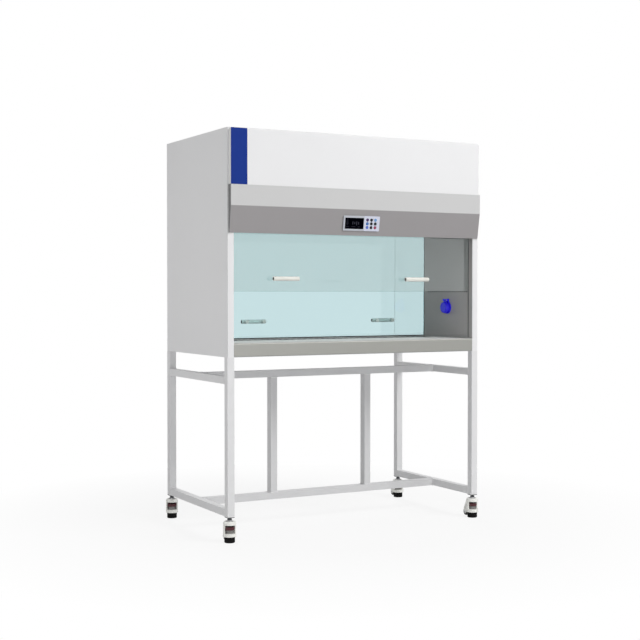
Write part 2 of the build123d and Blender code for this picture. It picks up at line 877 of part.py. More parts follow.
def make_dial(name, post):
    """Notched thumb wheel that drives the spindle."""
    with BuildPart() as dial:
        with BuildSketch(post.offset(dial_low)):
            Circle(dial_radius)
            Circle(spindle_radius + swivel_gap, mode=Mode.SUBTRACT)
            with PolarLocations(dial_radius + 0.6, dial_notches):
                Circle(2, mode=Mode.SUBTRACT)
        extrude(amount=dial_high - dial_low)
    save(dial.part, f"dial_{name}")


def make_wheel(name, axle_at):
    """Nylon wheel on its axle, bored and recessed on both sides."""
    with BuildPart() as wheel:
        with BuildSketch(axle_at):
            Circle(wheel_radius)
            Circle(axle_radius + swivel_gap, mode=Mode.SUBTRACT)
        extrude(amount=wheel_half, both=True)
        fillet(wheel.edges().filter_by(GeomType.CIRCLE).group_by(SortBy.RADIUS)[-1], 2.5)
        with BuildSketch(axle_at.offset(wheel_half), axle_at.offset(-wheel_half)):
            Circle(wheel_radius - 5)
            Circle(axle_radius + 4, mode=Mode.SUBTRACT)
        extrude(amount=2, both=True, mode=Mode.SUBTRACT)
    save(wheel.part, f"wheel_{name}")


def make_housing(name, post, across, axle_at):
    """Caster housing: foot cup, open dial window, wheel fork and the axle riveted in it."""
    cup_radius = foot_radius + 1.5
    web_low = foot_height + foot_travel + 1
    web_high = web_low + 4
    window_high = dial_high + 8
    window_back = 5.0
    crown = 5.0
    fork_half = wheel_half + fork_gap + cheek
    axle_z = wheel_lift + wheel_radius
    fork_end = wheel_offset + cheek_end
    with BuildPart() as housing:
        with BuildSketch(post.offset(housing_base)):
            Circle(housing_radius)
        extrude(amount=housing_top - housing_base)
        chamfer(housing.faces().sort_by(Axis.Z)[-1].edges(), crown)
        with BuildSketch(across):
            with BuildLine():
                Polyline(
                    (0, web_high),
                    (0, housing_top - crown),
                    (housing_radius - 2, housing_top - crown),
                    (fork_end, axle_z + cheek_end + 8),
                    (fork_end, axle_z - cheek_end + 3),
                    (fork_end - 3, axle_z - cheek_end),
                    (wheel_offset - cheek_end, axle_z - cheek_end),
                    (housing_radius - 6, web_low),
                    close=True,
                )
            make_face()
        extrude(amount=fork_half, both=True)
        with BuildSketch(axle_at):
            Circle(wheel_radius + 2)
        extrude(amount=wheel_half + fork_gap, both=True, mode=Mode.SUBTRACT)
        with BuildSketch(post.offset(housing_base)):
            Circle(cup_radius)
        extrude(amount=web_low - housing_base, mode=Mode.SUBTRACT)
        with BuildSketch(post.offset(web_high)):
            Circle(dial_radius + 1.5)
            with Locations((-housing_radius - window_back, 0)):
                Rectangle(2 * housing_radius, 2 * housing_radius + 2)
        extrude(amount=window_high - web_high, mode=Mode.SUBTRACT)
        with BuildSketch(post.offset(web_high)):
            Circle(collar_radius)
        extrude(amount=dial_low - web_high - fork_gap)
        with BuildSketch(post.offset(web_low)):
            Circle(spindle_radius + swivel_gap)
        extrude(amount=housing_top - web_low, mode=Mode.SUBTRACT)
        with BuildSketch(axle_at):
            Circle(axle_radius)
        extrude(amount=fork_half + 1, both=True)
    save(housing.part, f"housing_{name}")


for name, x, y, heading in caster_places:
    ahead = (cos(radians(heading)), sin(radians(heading)), 0)
    aside = (sin(radians(heading)), -cos(radians(heading)), 0)
    post = Plane(origin=(x, y, 0), x_dir=ahead, z_dir=(0, 0, 1))
    across = Plane(origin=(x, y, 0), x_dir=ahead, z_dir=aside)
    axle_at = Plane(
        origin=(x + wheel_offset * ahead[0], y + wheel_offset * ahead[1], wheel_lift + wheel_radius),
        x_dir=ahead,
        z_dir=aside,
    )
    make_foot(name, across)
    make_dial(name, post)
    make_wheel(name, axle_at)
    make_housing(name, post, across, axle_at)
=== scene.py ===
"""Looks of the laminar flow hood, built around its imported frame. Metres, +Z up."""
from math import cos, pi, radians, sin

import bmesh
import bpy
from mathutils import Matrix, Vector


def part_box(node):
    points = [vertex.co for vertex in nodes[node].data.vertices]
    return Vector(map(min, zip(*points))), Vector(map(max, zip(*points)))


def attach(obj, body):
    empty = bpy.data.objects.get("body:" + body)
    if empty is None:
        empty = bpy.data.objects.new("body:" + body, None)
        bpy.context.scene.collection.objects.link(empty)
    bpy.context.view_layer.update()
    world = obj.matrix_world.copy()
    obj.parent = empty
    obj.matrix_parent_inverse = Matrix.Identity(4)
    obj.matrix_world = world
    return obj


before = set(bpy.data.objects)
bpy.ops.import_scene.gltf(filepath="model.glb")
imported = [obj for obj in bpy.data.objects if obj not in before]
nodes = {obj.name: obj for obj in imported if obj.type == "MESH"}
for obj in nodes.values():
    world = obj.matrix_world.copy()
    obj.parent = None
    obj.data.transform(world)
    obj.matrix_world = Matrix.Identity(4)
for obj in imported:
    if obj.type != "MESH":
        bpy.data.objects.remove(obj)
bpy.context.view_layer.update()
scene = bpy.context.scene

X, Y, Z = Vector((1, 0, 0)), Vector((0, 1, 0)), Vector((0, 0, 1))
SQUARE = ((-1, -1), (1, -1), (1, 1), (-1, 1))
CORNERS = ("front_left", "front_right", "rear_left", "rear_right")

# ---------------------------------------------------------------- places taken from the frame
panel_low, panel_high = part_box("side_panel_left")
FRONT = panel_low.y                                   # flange plane
HALF_WIDTH = -panel_low.x
MIDDLE_Y = (panel_low.y + panel_high.y) / 2
HALF_DEPTH = (panel_high.y - panel_low.y) / 2
ROOF = panel_high.z
hood_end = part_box("front_hood")[1].x
cover_low, cover_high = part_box("front_cover")
rear_cover_low, rear_cover_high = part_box("rear_cover")
sash_low, sash_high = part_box("front_sash")
rear_low, rear_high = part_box("rear_sash")
worktop_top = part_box("worktop")[1].z
COVER_GAP, FLANGE_GAP = 0.001, 0.0025
OPENING = rear_cover_high.x + COVER_GAP               # half width between the liners
FLANGE_EDGE = rear_cover_high.x + FLANGE_GAP          # where the side panels' flanges end


def middle_of(node):
    """Middle of a node's box."""
    low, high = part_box(node)
    return (low + high) / 2


# ---------------------------------------------------------------- material helpers
EVEN = (1, 1, 1)                                      # noise stretched along no axis
SEAM = 0.002                                          # depth over which a finish changes
GRAIN_STRETCH = 70.0                                  # across the grain of brushed steel


def srgb(red, green, blue):
    """Linear colour of an 8-bit display colour."""
    channels = []
    for value in (red, green, blue):
        share = value / 255
        linear = share / 12.92 if share <= 0.04045 else ((share + 0.055) / 1.055) ** 2.4
        channels.append(linear)
    return (*channels, 1.0)


class Finish:
    """A node material under construction, with its Principled shader."""

    def __init__(self, name, roughness, metallic=0.0, **sockets):
        self.material = bpy.data.materials.new(name)
        self.material.use_nodes = True
        self.tree = self.material.node_tree
        self.shader = self.tree.nodes["Principled BSDF"]
        self.output = self.tree.nodes["Material Output"]
        self.shader.inputs["Roughness"].default_value = roughness
        self.shader.inputs["Metallic"].default_value = metallic
        for socket, value in sockets.items():
            self.shader.inputs[socket.replace("_", " ")].default_value = value
        self.place = self.add("ShaderNodeTexCoord").outputs["Object"]

    def add(self, kind, **settings):
        node = self.tree.nodes.new(kind)
        for key, value in settings.items():
            setattr(node, key, value)
        return node

    def link(self, source, target):
        self.tree.links.new(source, target)

    # -------- values that vary over the surface
    def noise(self, scale, detail, rough=0.5, stretch=EVEN):
        """Noise over the object's own coordinates, stretched by three factors."""
        mapping = self.add("ShaderNodeMapping")
        mapping.inputs["Scale"].default_value = stretch
        self.link(self.place, mapping.inputs["Vector"])
        texture = self.add("ShaderNodeTexNoise")
        texture.inputs["Scale"].default_value = scale
        texture.inputs["Detail"].default_value = detail
        texture.inputs["Roughness"].default_value = rough
        self.link(mapping.outputs["Vector"], texture.inputs["Vector"])
        return texture.outputs["Fac"]

    def spread(self, source, low, high, start=0.3, end=0.7):
        """source remapped from start..end to low..high."""
        remap = self.add("ShaderNodeMapRange")
        remap.inputs["From Min"].default_value = start
        remap.inputs["From Max"].default_value = end
        remap.inputs["To Min"].default_value = low
        remap.inputs["To Max"].default_value = high
        self.link(source, remap.inputs["Value"])
        return remap.outputs["Result"]

    def mix(self, factor, first, second):
        """Colour mix; first and second are colours or sockets."""
        blend = self.add("ShaderNodeMix", data_type="RGBA")
        self.link(factor, blend.inputs["Factor"])
        for socket, value in (("A", first), ("B", second)):
            target = [s for s in blend.inputs if s.name == socket and s.type == "RGBA"][0]
            if isinstance(value, tuple):
                target.default_value = value
            else:
                self.link(value, target)
        return [s for s in blend.outputs if s.type == "RGBA"][0]

    def math(self, operation, first, second=None):
        """One arithmetic step; second is a number or a socket."""
        node = self.add("ShaderNodeMath", operation=operation)
        self.link(first, node.inputs[0])
        if isinstance(second, float):
            node.inputs[1].default_value = second
        elif second is not None:
            self.link(second, node.inputs[1])
        return node.outputs[0]

    def coordinate(self, axis):
        """One coordinate of the object's own space."""
        split = self.add("ShaderNodeSeparateXYZ")
        self.link(self.place, split.inputs["Vector"])
        return split.outputs[axis]

    def folded(self, axis, middle=0.0):
        """Distance from the middle along one axis."""
        return self.math("ABSOLUTE", self.math("SUBTRACT", self.coordinate(axis), middle))

    def length(self, first, second):
        """Length of a flat vector from its two parts."""
        squares = [self.math("POWER", part, 2.0) for part in (first, second)]
        return self.math("SQRT", self.math("ADD", *squares))

    def past(self, value, limit, soft=0.0004):
        """1 where the value is past a limit."""
        return self.spread(value, 0, 1, limit - soft, limit + soft)

    def short_of(self, value, limit, soft=0.0004):
        """1 where the value is short of a limit."""
        return self.spread(value, 1, 0, limit - soft, limit + soft)

    # -------- what the shader is fed with
    def fed(self, socket):
        """The output that feeds an input of the shader."""
        return self.shader.inputs[socket].links[0].from_socket

    def colour(self, source):
        self.link(source, self.shader.inputs["Base Color"])

    def roughness(self, source):
        self.link(source, self.shader.inputs["Roughness"])

    def bump(self, source, strength, distance):
        relief = self.add("ShaderNodeBump")
        relief.inputs["Strength"].default_value = strength
        relief.inputs["Distance"].default_value = distance
        self.link(source, relief.inputs["Height"])
        self.link(relief.outputs["Normal"], self.shader.inputs["Normal"])
        return self

    def blend(self, factor, colour, roughness, metallic):
        """Turn the finish into another, smooth one where factor is 1."""
        after = self.mix(self.noise(4, 3), *shades(colour, 0.02))
        self.colour(self.mix(factor, self.fed("Base Color"), after))
        gloss = self.add("ShaderNodeMix")
        self.link(factor, gloss.inputs["Factor"])
        self.link(self.fed("Roughness"), gloss.inputs["A"])
        gloss.inputs["B"].default_value = roughness
        self.roughness(gloss.outputs["Result"])
        relief = self.fed("Normal").node
        strength = self.spread(factor, relief.inputs["Strength"].default_value, 0.0, 0, 1)
        self.link(strength, relief.inputs["Strength"])
        metal = self.shader.inputs["Metallic"]
        self.link(self.spread(factor, metal.default_value, metallic, 0, 1), metal)

    def behind(self, y, colour, roughness, metallic):
        """Another finish on everything behind a plane."""
        step = self.spread(self.coordinate("Y"), 0, 1, y, y + SEAM)
        self.blend(step, colour, roughness, metallic)

    def layer(self, factor, shader):
        """Show another shader where factor is 1."""
        either = self.add("ShaderNodeMixShader")
        self.link(factor, either.inputs["Fac"])
        self.link(self.shader.outputs["BSDF"], either.inputs[1])
        self.link(shader, either.inputs[2])
        self.link(either.outputs["Shader"], self.output.inputs["Surface"])


def shades(colour, amount):
    """The colour a little darker and a little lighter."""
    dark = tuple(c * (1 - amount) for c in colour[:3]) + (1.0,)
    light = tuple(min(1.0, c * (1 + amount)) for c in colour[:3]) + (1.0,)
    return dark, light


def powder_coat(name, colour, roughness=0.42, peel=0.05, vary=0.015):
    """Painted sheet: faint orange peel, slightly uneven gloss and tone."""
    finish = Finish(name, roughness)
    finish.colour(finish.mix(finish.noise(2.5, 3), *shades(colour, vary)))
    finish.roughness(finish.spread(finish.noise(30, 3), roughness - 0.05, roughness + 0.05))
    return finish.bump(finish.noise(620, 2), peel, 0.0006)


def brushed(name, colour, grain, roughness=0.34, metallic=0.85, vary=0.06):
    """Brushed steel: long fine grain along one axis."""
    finish = Finish(name, roughness, metallic)
    stretch = tuple(1.0 if axis == grain else GRAIN_STRETCH for axis in "xyz")
    lines = finish.noise(14, 4, 0.65, stretch)
    finish.colour(finish.mix(lines, *shades(colour, vary)))
    finish.roughness(finish.spread(lines, roughness - 0.07, roughness + 0.09))
    return finish.bump(lines, 0.06, 0.0004)


def moulded(name, colour, roughness=0.32, texture=0.03, vary=0.03, grain=900, shine=0.5):
    """Moulded plastic or rubber with a fine skin."""
    finish = Finish(name, roughness, Specular_IOR_Level=shine)
    finish.colour(finish.mix(finish.noise(40, 3), *shades(colour, vary)))
    finish.roughness(finish.spread(finish.noise(160, 2), roughness - 0.05, roughness + 0.07))
    return finish.bump(finish.noise(grain, 2), texture, 0.0004)


CLEAR_EDGE = (0.0010, 0.0014)                         # above a pane's foot


def pane(name, tint, low, index):
    """Float glass, tinted and faintly smeared, that does not bend light at its lower edge.

    Light from the lamps goes through it untinted.
    """
    finish = Finish(name, 0.0, Transmission_Weight=1.0, IOR=index)
    finish.colour(finish.mix(finish.noise(3, 2), *shades(tint, 0.012)))
    finish.roughness(finish.spread(finish.noise(9, 4), 0.0, 0.02))
    clear = finish.add("ShaderNodeBsdfTransparent")
    shadow = finish.add("ShaderNodeLightPath").outputs["Is Shadow Ray"]
    finish.link(finish.mix(shadow, tint, (1.0, 1.0, 1.0, 1.0)), clear.inputs["Color"])
    start, end = CLEAR_EDGE
    edge = finish.spread(finish.coordinate("Z"), 1, 0, low + start, low + end)
    finish.layer(finish.math("MAXIMUM", shadow, edge), clear.outputs["BSDF"])
    return finish


def dress(finish, *names):
    """Give CAD nodes a finish."""
    for name in names:
        slots = nodes[name].data.materials
        slots.clear()
        slots.append(finish.material)


# ---------------------------------------------------------------- finishes: sheet and frame
PANEL_WHITE = srgb(237, 237, 238)
# painted shade for the side panels' inner faces behind the liners
PANEL_INSIDE_SHADE = srgb(54, 55, 57)
BAND_GREY = srgb(204, 204, 204)
# painted shade for the hood's slope and ends
SLOPE_SHADE_GREY = srgb(152, 149, 150)
HOOD_END_SHADE_GREY = srgb(112, 112, 113)
SKIN = 0.0008                                         # half the sheet

dress(powder_coat("panel_paint", PANEL_WHITE), "roof_panel", "front_cover", "rear_cover")

# painted shade: the side panels' inner faces in front of the rear sash are painted dark, as the
# shade of the closed space behind the liners
side_paint = powder_coat("side_panel_paint_and_shade", PANEL_WHITE)
shell = side_paint.math(
    "MAXIMUM",
    side_paint.past(side_paint.folded("X"), HALF_WIDTH - SKIN),
    side_paint.past(side_paint.folded("Y", MIDDLE_Y), HALF_DEPTH - SKIN),
)
inside = side_paint.math(
    "SUBTRACT", side_paint.past(side_paint.folded("X"), FLANGE_EDGE), shell
)
ahead_of_sash = side_paint.short_of(side_paint.coordinate("Y"), rear_high.y)
inside = side_paint.math("MULTIPLY", inside, ahead_of_sash)
side_paint.blend(inside, PANEL_INSIDE_SHADE, roughness=0.7, metallic=0.0)
dress(side_paint, "side_panel_left", "side_panel_right")

# painted shade: the hood has a pale vertical band, and the slope below it and its ends are painted
# darker, as the shade on the down-facing slope and on the shaded ends
HOOD_BROW = 1.444
BROW_BELOW, BROW_ABOVE = 0.0015, 0.0005
hood_paint = powder_coat("hood_paint", BAND_GREY)
band = hood_paint.spread(
    hood_paint.coordinate("Z"), 0, 1, HOOD_BROW - BROW_BELOW, HOOD_BROW + BROW_ABOVE
)
slope_shade_tone = hood_paint.mix(hood_paint.noise(2.5, 3), *shades(SLOPE_SHADE_GREY, 0.015))
front_tone = hood_paint.mix(band, slope_shade_tone, hood_paint.fed("Base Color"))
# painted shade on both ends of the hood
ends = hood_paint.past(hood_paint.folded("X"), hood_end - SKIN)
hood_paint.colour(hood_paint.mix(ends, front_tone, HOOD_END_SHADE_GREY))
dress(hood_paint, "front_hood")

stand_paint = powder_coat("stand_paint", srgb(232, 232, 233), 0.4)
dress(stand_paint, "stand_side_left", "stand_side_right")
# painted shade: the centre frame is painted a little darker than the side frames, as the shade
# under the cabinet
dress(powder_coat("stand_centre_paint_and_shade", srgb(220, 220, 221), 0.4), "stand_centre")

# linings and pan are bright behind the rear sash; painted light: the worktop's top face is painted
# paler and duller than its front, as the light falling on it
BRIGHT_LINING = (0.99, 0.99, 0.99, 1.0)
BRIGHT_PAN = (0.9, 0.9, 0.9, 1.0)
liner_steel = brushed("liner_steel", srgb(187, 182, 181), "y", 0.55, metallic=0.15)
liner_steel.behind(rear_high.y, BRIGHT_LINING, roughness=0.12, metallic=1.0)
dress(liner_steel, "liner_left", "liner_right")
TOP_START, TOP_END = 0.0012, 0.0002                   # below the worktop's upper face
worktop_steel = brushed("worktop_steel", srgb(161, 161, 156), "x", 0.42, metallic=0.35)
lit_top = worktop_steel.spread(
    worktop_steel.coordinate("Z"), 0, 1, worktop_top - TOP_START, worktop_top - TOP_END
)
worktop_steel.blend(lit_top, srgb(232, 232, 229), roughness=0.5, metallic=0.05)
dress(worktop_steel, "worktop")
dress(brushed("grille_steel", srgb(70, 71, 74), "x", 0.4), "return_grille")
GALVANISED = srgb(176, 179, 181)
dress(brushed("galvanised", GALVANISED, "x", 0.45, vary=0.1), "plenum_box", "fan_inlet")
pan_steel = brushed("pan_steel", GALVANISED, "x", 0.45, vary=0.1)
pan_steel.behind(rear_high.y, BRIGHT_PAN, roughness=0.35, metallic=1.0)
dress(pan_steel, "base_pan")

# ---------------------------------------------------------------- finishes: air and light
dress(powder_coat("filter_frame", srgb(208, 210, 212), 0.35), "diffuser")
filter_media = moulded("filter_media", srgb(240, 240, 236), 0.9, texture=0.4, grain=500)
dress(filter_media, "hepa_filter", "pre_filter")
dress(brushed("impeller_alloy", srgb(190, 192, 194), "x", 0.35), "fan_impeller")
motor_black = powder_coat("motor_black", srgb(38, 39, 42), 0.5)
dress(motor_black, "fan_motor")
dress(moulded("lamp_white", srgb(243, 244, 247), 0.4), "led_lamp", "uv_lamp")

# ---------------------------------------------------------------- finishes: sashes and handles
dress(pane("front_glass", srgb(228, 233, 232), sash_low.z, 1.7), "front_sash")
dress(pane("rear_glass", srgb(197, 223, 226), rear_low.z, 1.45), "rear_sash")

IVORY = srgb(234, 233, 226)
# painted shade inside the handles' bores
BORE_SHADE = srgb(40, 40, 42)
HANDLE_RADIUS = 0.0095
BORE_RADIUS = 0.0062
BORE_SOFT = 0.0002
for sash in ("front", "rear"):
    for side in ("left", "right"):
        name = f"{sash}_handle_{side}"
        low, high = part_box(name)
        bar_y = low.y + HANDLE_RADIUS if sash == "front" else high.y - HANDLE_RADIUS
        ivory = moulded(f"{name}_ivory", IVORY, 0.3)
        from_axis = ivory.length(
            ivory.math("SUBTRACT", ivory.coordinate("Y"), bar_y),
            ivory.math("SUBTRACT", ivory.coordinate("Z"), (low.z + high.z) / 2),
        )
        # painted shade: the bar is painted dark round its axis, as the shade inside an open bore
        bore_shade = ivory.short_of(from_axis, BORE_RADIUS, BORE_SOFT)
        ivory.blend(bore_shade, BORE_SHADE, roughness=0.6, metallic=0.0)
        dress(ivory, name)

# ---------------------------------------------------------------- finishes: control unit, outlet
KEY_FIELD = 0.013                                     # the film is paler round the keys
panel_film = moulded("panel_face", srgb(190, 193, 202), 0.35)
key_field = panel_film.past(panel_film.coordinate("X"), KEY_FIELD)
panel_film.blend(key_field, srgb(212, 215, 232), roughness=0.35, metallic=0.0)
dress(panel_film, "control_panel")
dress(moulded("display_black", srgb(2, 2, 8), 0.3, texture=0.0, shine=0.0), "display_window")
KEY_COLOURS = (
    (72, 46, 96), (24, 24, 38), (116, 158, 208),
    (76, 120, 184), (20, 18, 26), (20, 30, 36),
    (92, 114, 196), (34, 26, 38), (150, 62, 92),
)
for number, colour in enumerate(KEY_COLOURS, 1):
    dress(moulded(f"key_{number}_cap", srgb(*colour), 0.25), f"key_{number}")

dress(moulded("socket_blue", srgb(54, 44, 255), 0.2, shine=0.3), "socket_base", "socket_lid")
zinc = brushed("plated_steel", srgb(196, 197, 200), "z", 0.3, metallic=0.95)
dress(zinc, "socket_pin")

# ---------------------------------------------------------------- finishes: casters
WASHER_LOW, WASHER_HIGH = 0.0925, 0.0957              # a bright washer on a dark bolt
bolt_steel = brushed("bolt_steel", srgb(82, 83, 86), "z", 0.35, metallic=0.8)
washer = bolt_steel.math(
    "MULTIPLY",
    bolt_steel.past(bolt_steel.coordinate("Z"), WASHER_LOW),
    bolt_steel.short_of(bolt_steel.coordinate("Z"), WASHER_HIGH),
)
bolt_steel.blend(washer, srgb(224, 224, 226), roughness=0.3, metallic=0.5)
dress(bolt_steel, "caster_studs")

COLLAR_RADIUS = 0.0172                                # a grey collar inside the housing
COLLAR_SOFT = 0.0002
post = middle_of("foot_front_right")
caster_ivory = moulded("caster_ivory", srgb(252, 252, 247), 0.32)
from_post = caster_ivory.length(
    caster_ivory.math("SUBTRACT", caster_ivory.folded("X"), post.x),
    caster_ivory.math("SUBTRACT", caster_ivory.folded("Y", MIDDLE_Y), MIDDLE_Y - post.y),
)
collar = caster_ivory.short_of(from_post, COLLAR_RADIUS + COLLAR_SOFT, COLLAR_SOFT)
caster_ivory.blend(collar, srgb(128, 127, 125), roughness=0.45, metallic=0.0)
dial_red = moulded("dial_red", srgb(82, 36, 42), 0.4)
nylon = moulded("wheel_black", srgb(20, 20, 21), 0.5, shine=0.25)
rubber = moulded("foot_rubber", srgb(12, 12, 12), 0.7, texture=0.12, shine=0.15)
for corner in CORNERS:
    dress(caster_ivory, f"housing_{corner}")
    dress(dial_red, f"dial_{corner}")
    dress(nylon, f"wheel_{corner}")
    dress(rubber, f"foot_{corner}")

# ---------------------------------------------------------------- shape helpers
CREASE = radians(35)
BEAD_SIDES = 8
BEAD_RADIUS = 0.0022
BEAD_STEP = 0.0026
RIPPLE, RIPPLE_TURN = 0.16, 2.4                       # height and phase of a weld's ripples


def place_piece(name, form, finish, body):
    """Turn a finished bmesh into a piece that rides a body."""
    mesh = bpy.data.meshes.new(name)
    bmesh.ops.recalc_face_normals(form, faces=form.faces)
    form.to_mesh(mesh)
    form.free()
    mesh.materials.append(finish.material)
    mesh.shade_smooth()
    mesh.set_sharp_from_angle(angle=CREASE)
    piece = bpy.data.objects.new(name, mesh)
    scene.collection.objects.link(piece)
    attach(piece, body)


def block(form, low, high, rounding):
    """Add a block between two corners, with rounded edges."""
    made = bmesh.ops.create_cube(form, size=1.0)["verts"]
    bmesh.ops.scale(form, vec=high - low, verts=made)
    bmesh.ops.translate(form, vec=(low + high) / 2, verts=made)
    edges = list(dict.fromkeys(edge for vert in made for edge in vert.link_edges))
    bmesh.ops.bevel(form, geom=edges, offset=rounding, segments=2, affect="EDGES")


def turned(form, profile, place, axis, steps=24):
    """Add a solid of revolution: profile is (radius, height) along axis from place.

    A profile that starts or ends on the axis is closed there; any other is closed end to end.
    """
    basis = Vector(axis).to_track_quat("Z", "Y").to_matrix()
    rings = []
    for radius, height in profile:
        ring = []
        for index in range(steps if radius else 1):
            angle = 2 * pi * index / steps
            spot = Vector((radius * cos(angle), radius * sin(angle), height))
            ring.append(form.verts.new(place + basis @ spot))
        rings.append(ring)
    on_axis = len(rings[0]) == 1 or len(rings[-1]) == 1
    following = rings[1:] if on_axis else rings[1:] + rings[:1]
    for lower, upper in zip(rings, following):
        for index in range(steps):
            after = index + 1
            corners = (
                lower[index % len(lower)], lower[after % len(lower)],
                upper[after % len(upper)], upper[index % len(upper)],
            )
            form.faces.new(dict.fromkeys(corners))


def bead(form, centre, across, along, half_across, half_along):
    """Add a rippled weld bead round a rectangular tube, where it meets another."""
    corners = [
        centre + across * first * half_across + along * second * half_along
        for first, second in SQUARE
    ]
    normal = across.cross(along)
    rings = []
    for corner, following in zip(corners, corners[1:] + corners[:1]):
        run = following - corner
        count = round(run.length / BEAD_STEP)
        for index in range(count):
            spot = corner + run * index / count
            outward = (spot - centre).normalized()
            swell = BEAD_RADIUS * (1.0 + RIPPLE * sin(index * RIPPLE_TURN))
            ring = []
            for side in range(BEAD_SIDES):
                angle = 2 * pi * side / BEAD_SIDES
                reach = (outward * cos(angle) + normal * sin(angle)) * swell
                ring.append(form.verts.new(spot + reach))
            rings.append(ring)
    for ring, following in zip(rings, rings[1:] + rings[:1]):
        for side in range(BEAD_SIDES):
            after = (side + 1) % BEAD_SIDES
            form.faces.new((ring[side], ring[after], following[after], following[side]))


# ---------------------------------------------------------------- bare plate on the cover
BADGE_WIDTH = 0.077
BADGE_THICK = 0.0012
BADGE_LEFT, BADGE_BELOW, BADGE_ABOVE = 0.0002, 0.0005, 0.002
badge_blue = moulded("badge_blue", srgb(24, 54, 140), 0.45, shine=0.1)
badge = bmesh.new()
block(
    badge,
    Vector((
        cover_low.x + BADGE_LEFT, cover_low.y - BADGE_THICK, cover_low.z + BADGE_BELOW
    )),
    Vector((cover_low.x + BADGE_WIDTH, cover_low.y, cover_high.z - BADGE_ABOVE)),
    rounding=0.0004,
)
place_piece("bare_plate", badge, badge_blue, "cabinet")

# ---------------------------------------------------------------- weld beads of the stand
UPRIGHT_XS = (-0.266, 0.238)
stand_low, stand_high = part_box("stand_side_left")
centre_low, centre_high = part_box("stand_centre")
tube = stand_high.x - stand_low.x
half = tube / 2
leg_x = -(stand_low.x + half)
stand_middle = (stand_low.y + stand_high.y) / 2
rail_rises = (centre_low.z + half, centre_high.z - half)
centre_half = (centre_high.y - centre_low.y) / 2
beads = bmesh.new()
for rise in rail_rises:
    for side in (-1, 1):
        for end in (-1, 1):
            leg_face = stand_middle + end * (stand_high.y - stand_middle - tube)
            bead(beads, Vector((side * leg_x, leg_face, rise)), X, Z, half, half)
        rail_face = Vector((side * (leg_x - half), stand_middle, rise))
        bead(beads, rail_face, Y, Z, centre_half, half)
for upright in UPRIGHT_XS:
    for rise in (rail_rises[0] + half, rail_rises[1] - half):
        bead(beads, Vector((upright, stand_middle, rise)), X, Y, half, centre_half)
place_piece("weld_beads", beads, stand_paint, "cabinet")

# ---------------------------------------------------------------- screws of the rear cover
SCREW_HEAD = (
    (0.0, 0.0007), (0.0011, 0.0007), (0.0014, 0.0021), (0.0030, 0.0019),
    (0.0041, 0.0010), (0.0044, -0.0004), (0.0, -0.0004),
)
SCREW_INSET = 0.012
SCREW_RISES = (0.03, 0.14, 0.25, 0.36)
screws = bmesh.new()
screw_x = rear_cover_high.x - SCREW_INSET
for rise in SCREW_RISES:
    for side in (-1, 1):
        spot = Vector((side * screw_x, rear_cover_high.y, rear_cover_low.z + rise))
        turned(screws, SCREW_HEAD, spot, Y)
place_piece("cover_screws", screws, zinc, "cabinet")

# ---------------------------------------------------------------- felt beside the glass
TRACK_HALF = 0.004                                    # half the width of a channel
FELT_THICK = 0.0013
FELT_START, FELT_END = 0.0015, 0.010                  # into the channel
FELT_ABOVE_TABLE, FELT_BELOW_ROOF = 0.002, 0.030
felt = moulded("seal_felt", srgb(120, 128, 126), 0.95, texture=0.5, grain=1400, shine=0.1)
strips = bmesh.new()
for plane in ((sash_low.y + sash_high.y) / 2, (rear_low.y + rear_high.y) / 2):
    for side in (-1, 1):
        reach = sorted((side * (OPENING + FELT_START), side * (OPENING + FELT_END)))
        for face in (-1, 1):
            skins = sorted((plane + face * TRACK_HALF, plane + face * (TRACK_HALF - FELT_THICK)))
            block(
                strips,
                Vector((reach[0], skins[0], worktop_top + FELT_ABOVE_TABLE)),
                Vector((reach[1], skins[1], ROOF - FELT_BELOW_ROOF)),
                rounding=0.0003,
            )
place_piece("sash_seals", strips, felt, "cabinet")

# ---------------------------------------------------------------- rubber at the rear glass's foot
STRIP_RISE = 0.0045
STRIP_SKIN = 0.001
STRIP_GAP = 0.00002                                   # keeps it off the glass
STRIP_END = 0.002                                     # clear of the liners
foot_strips = bmesh.new()
for face, outward in ((rear_low.y, -1), (rear_high.y, 1)):
    skins = sorted((face + outward * STRIP_GAP, face + outward * STRIP_SKIN))
    block(
        foot_strips,
        Vector((STRIP_END - OPENING, skins[0], rear_low.z)),
        Vector((OPENING - STRIP_END, skins[1], rear_low.z + STRIP_RISE)),
        rounding=0.0003,
    )
place_piece("rear_glass_strips", foot_strips, rubber, "rear_sash")

# ---------------------------------------------------------------- pads under the handles' posts
# They are sunk in the glass, so that they show through it.
POST_REACH = 0.044
PAD = ((0.0, 0.0001), (0.0088, 0.0001), (0.0088, 0.0003), (0.0, 0.0003))
pad_ivory = moulded("pad_ivory", IVORY, 0.5)
for sash, face, inward in (("front", sash_low.y, Y), ("rear", rear_high.y, -Y)):
    pads = bmesh.new()
    for side in ("left", "right"):
        handle = middle_of(f"{sash}_handle_{side}")
        for end in (-1, 1):
            spot = Vector((handle.x + end * POST_REACH, face, handle.z))
            turned(pads, PAD, spot, inward, steps=32)
    place_piece(f"{sash}_handle_pads", pads, pad_ivory, f"{sash}_sash")

# ---------------------------------------------------------------- display marks and key rings
SLOPE_RUN, SLOPE_RISE = 0.018, 0.116                  # of the hood's sloped face
face_normal = Vector((0, -SLOPE_RISE, -SLOPE_RUN)).normalized()
face_up = face_normal.cross(X)


def on_slope(form, centre):
    """Move a form made flat, x across, y up and z out, onto the sloped face."""
    turn = Matrix((X, face_up, face_normal)).transposed().to_4x4()
    bmesh.ops.transform(form, matrix=Matrix.Translation(centre) @ turn, verts=form.verts)


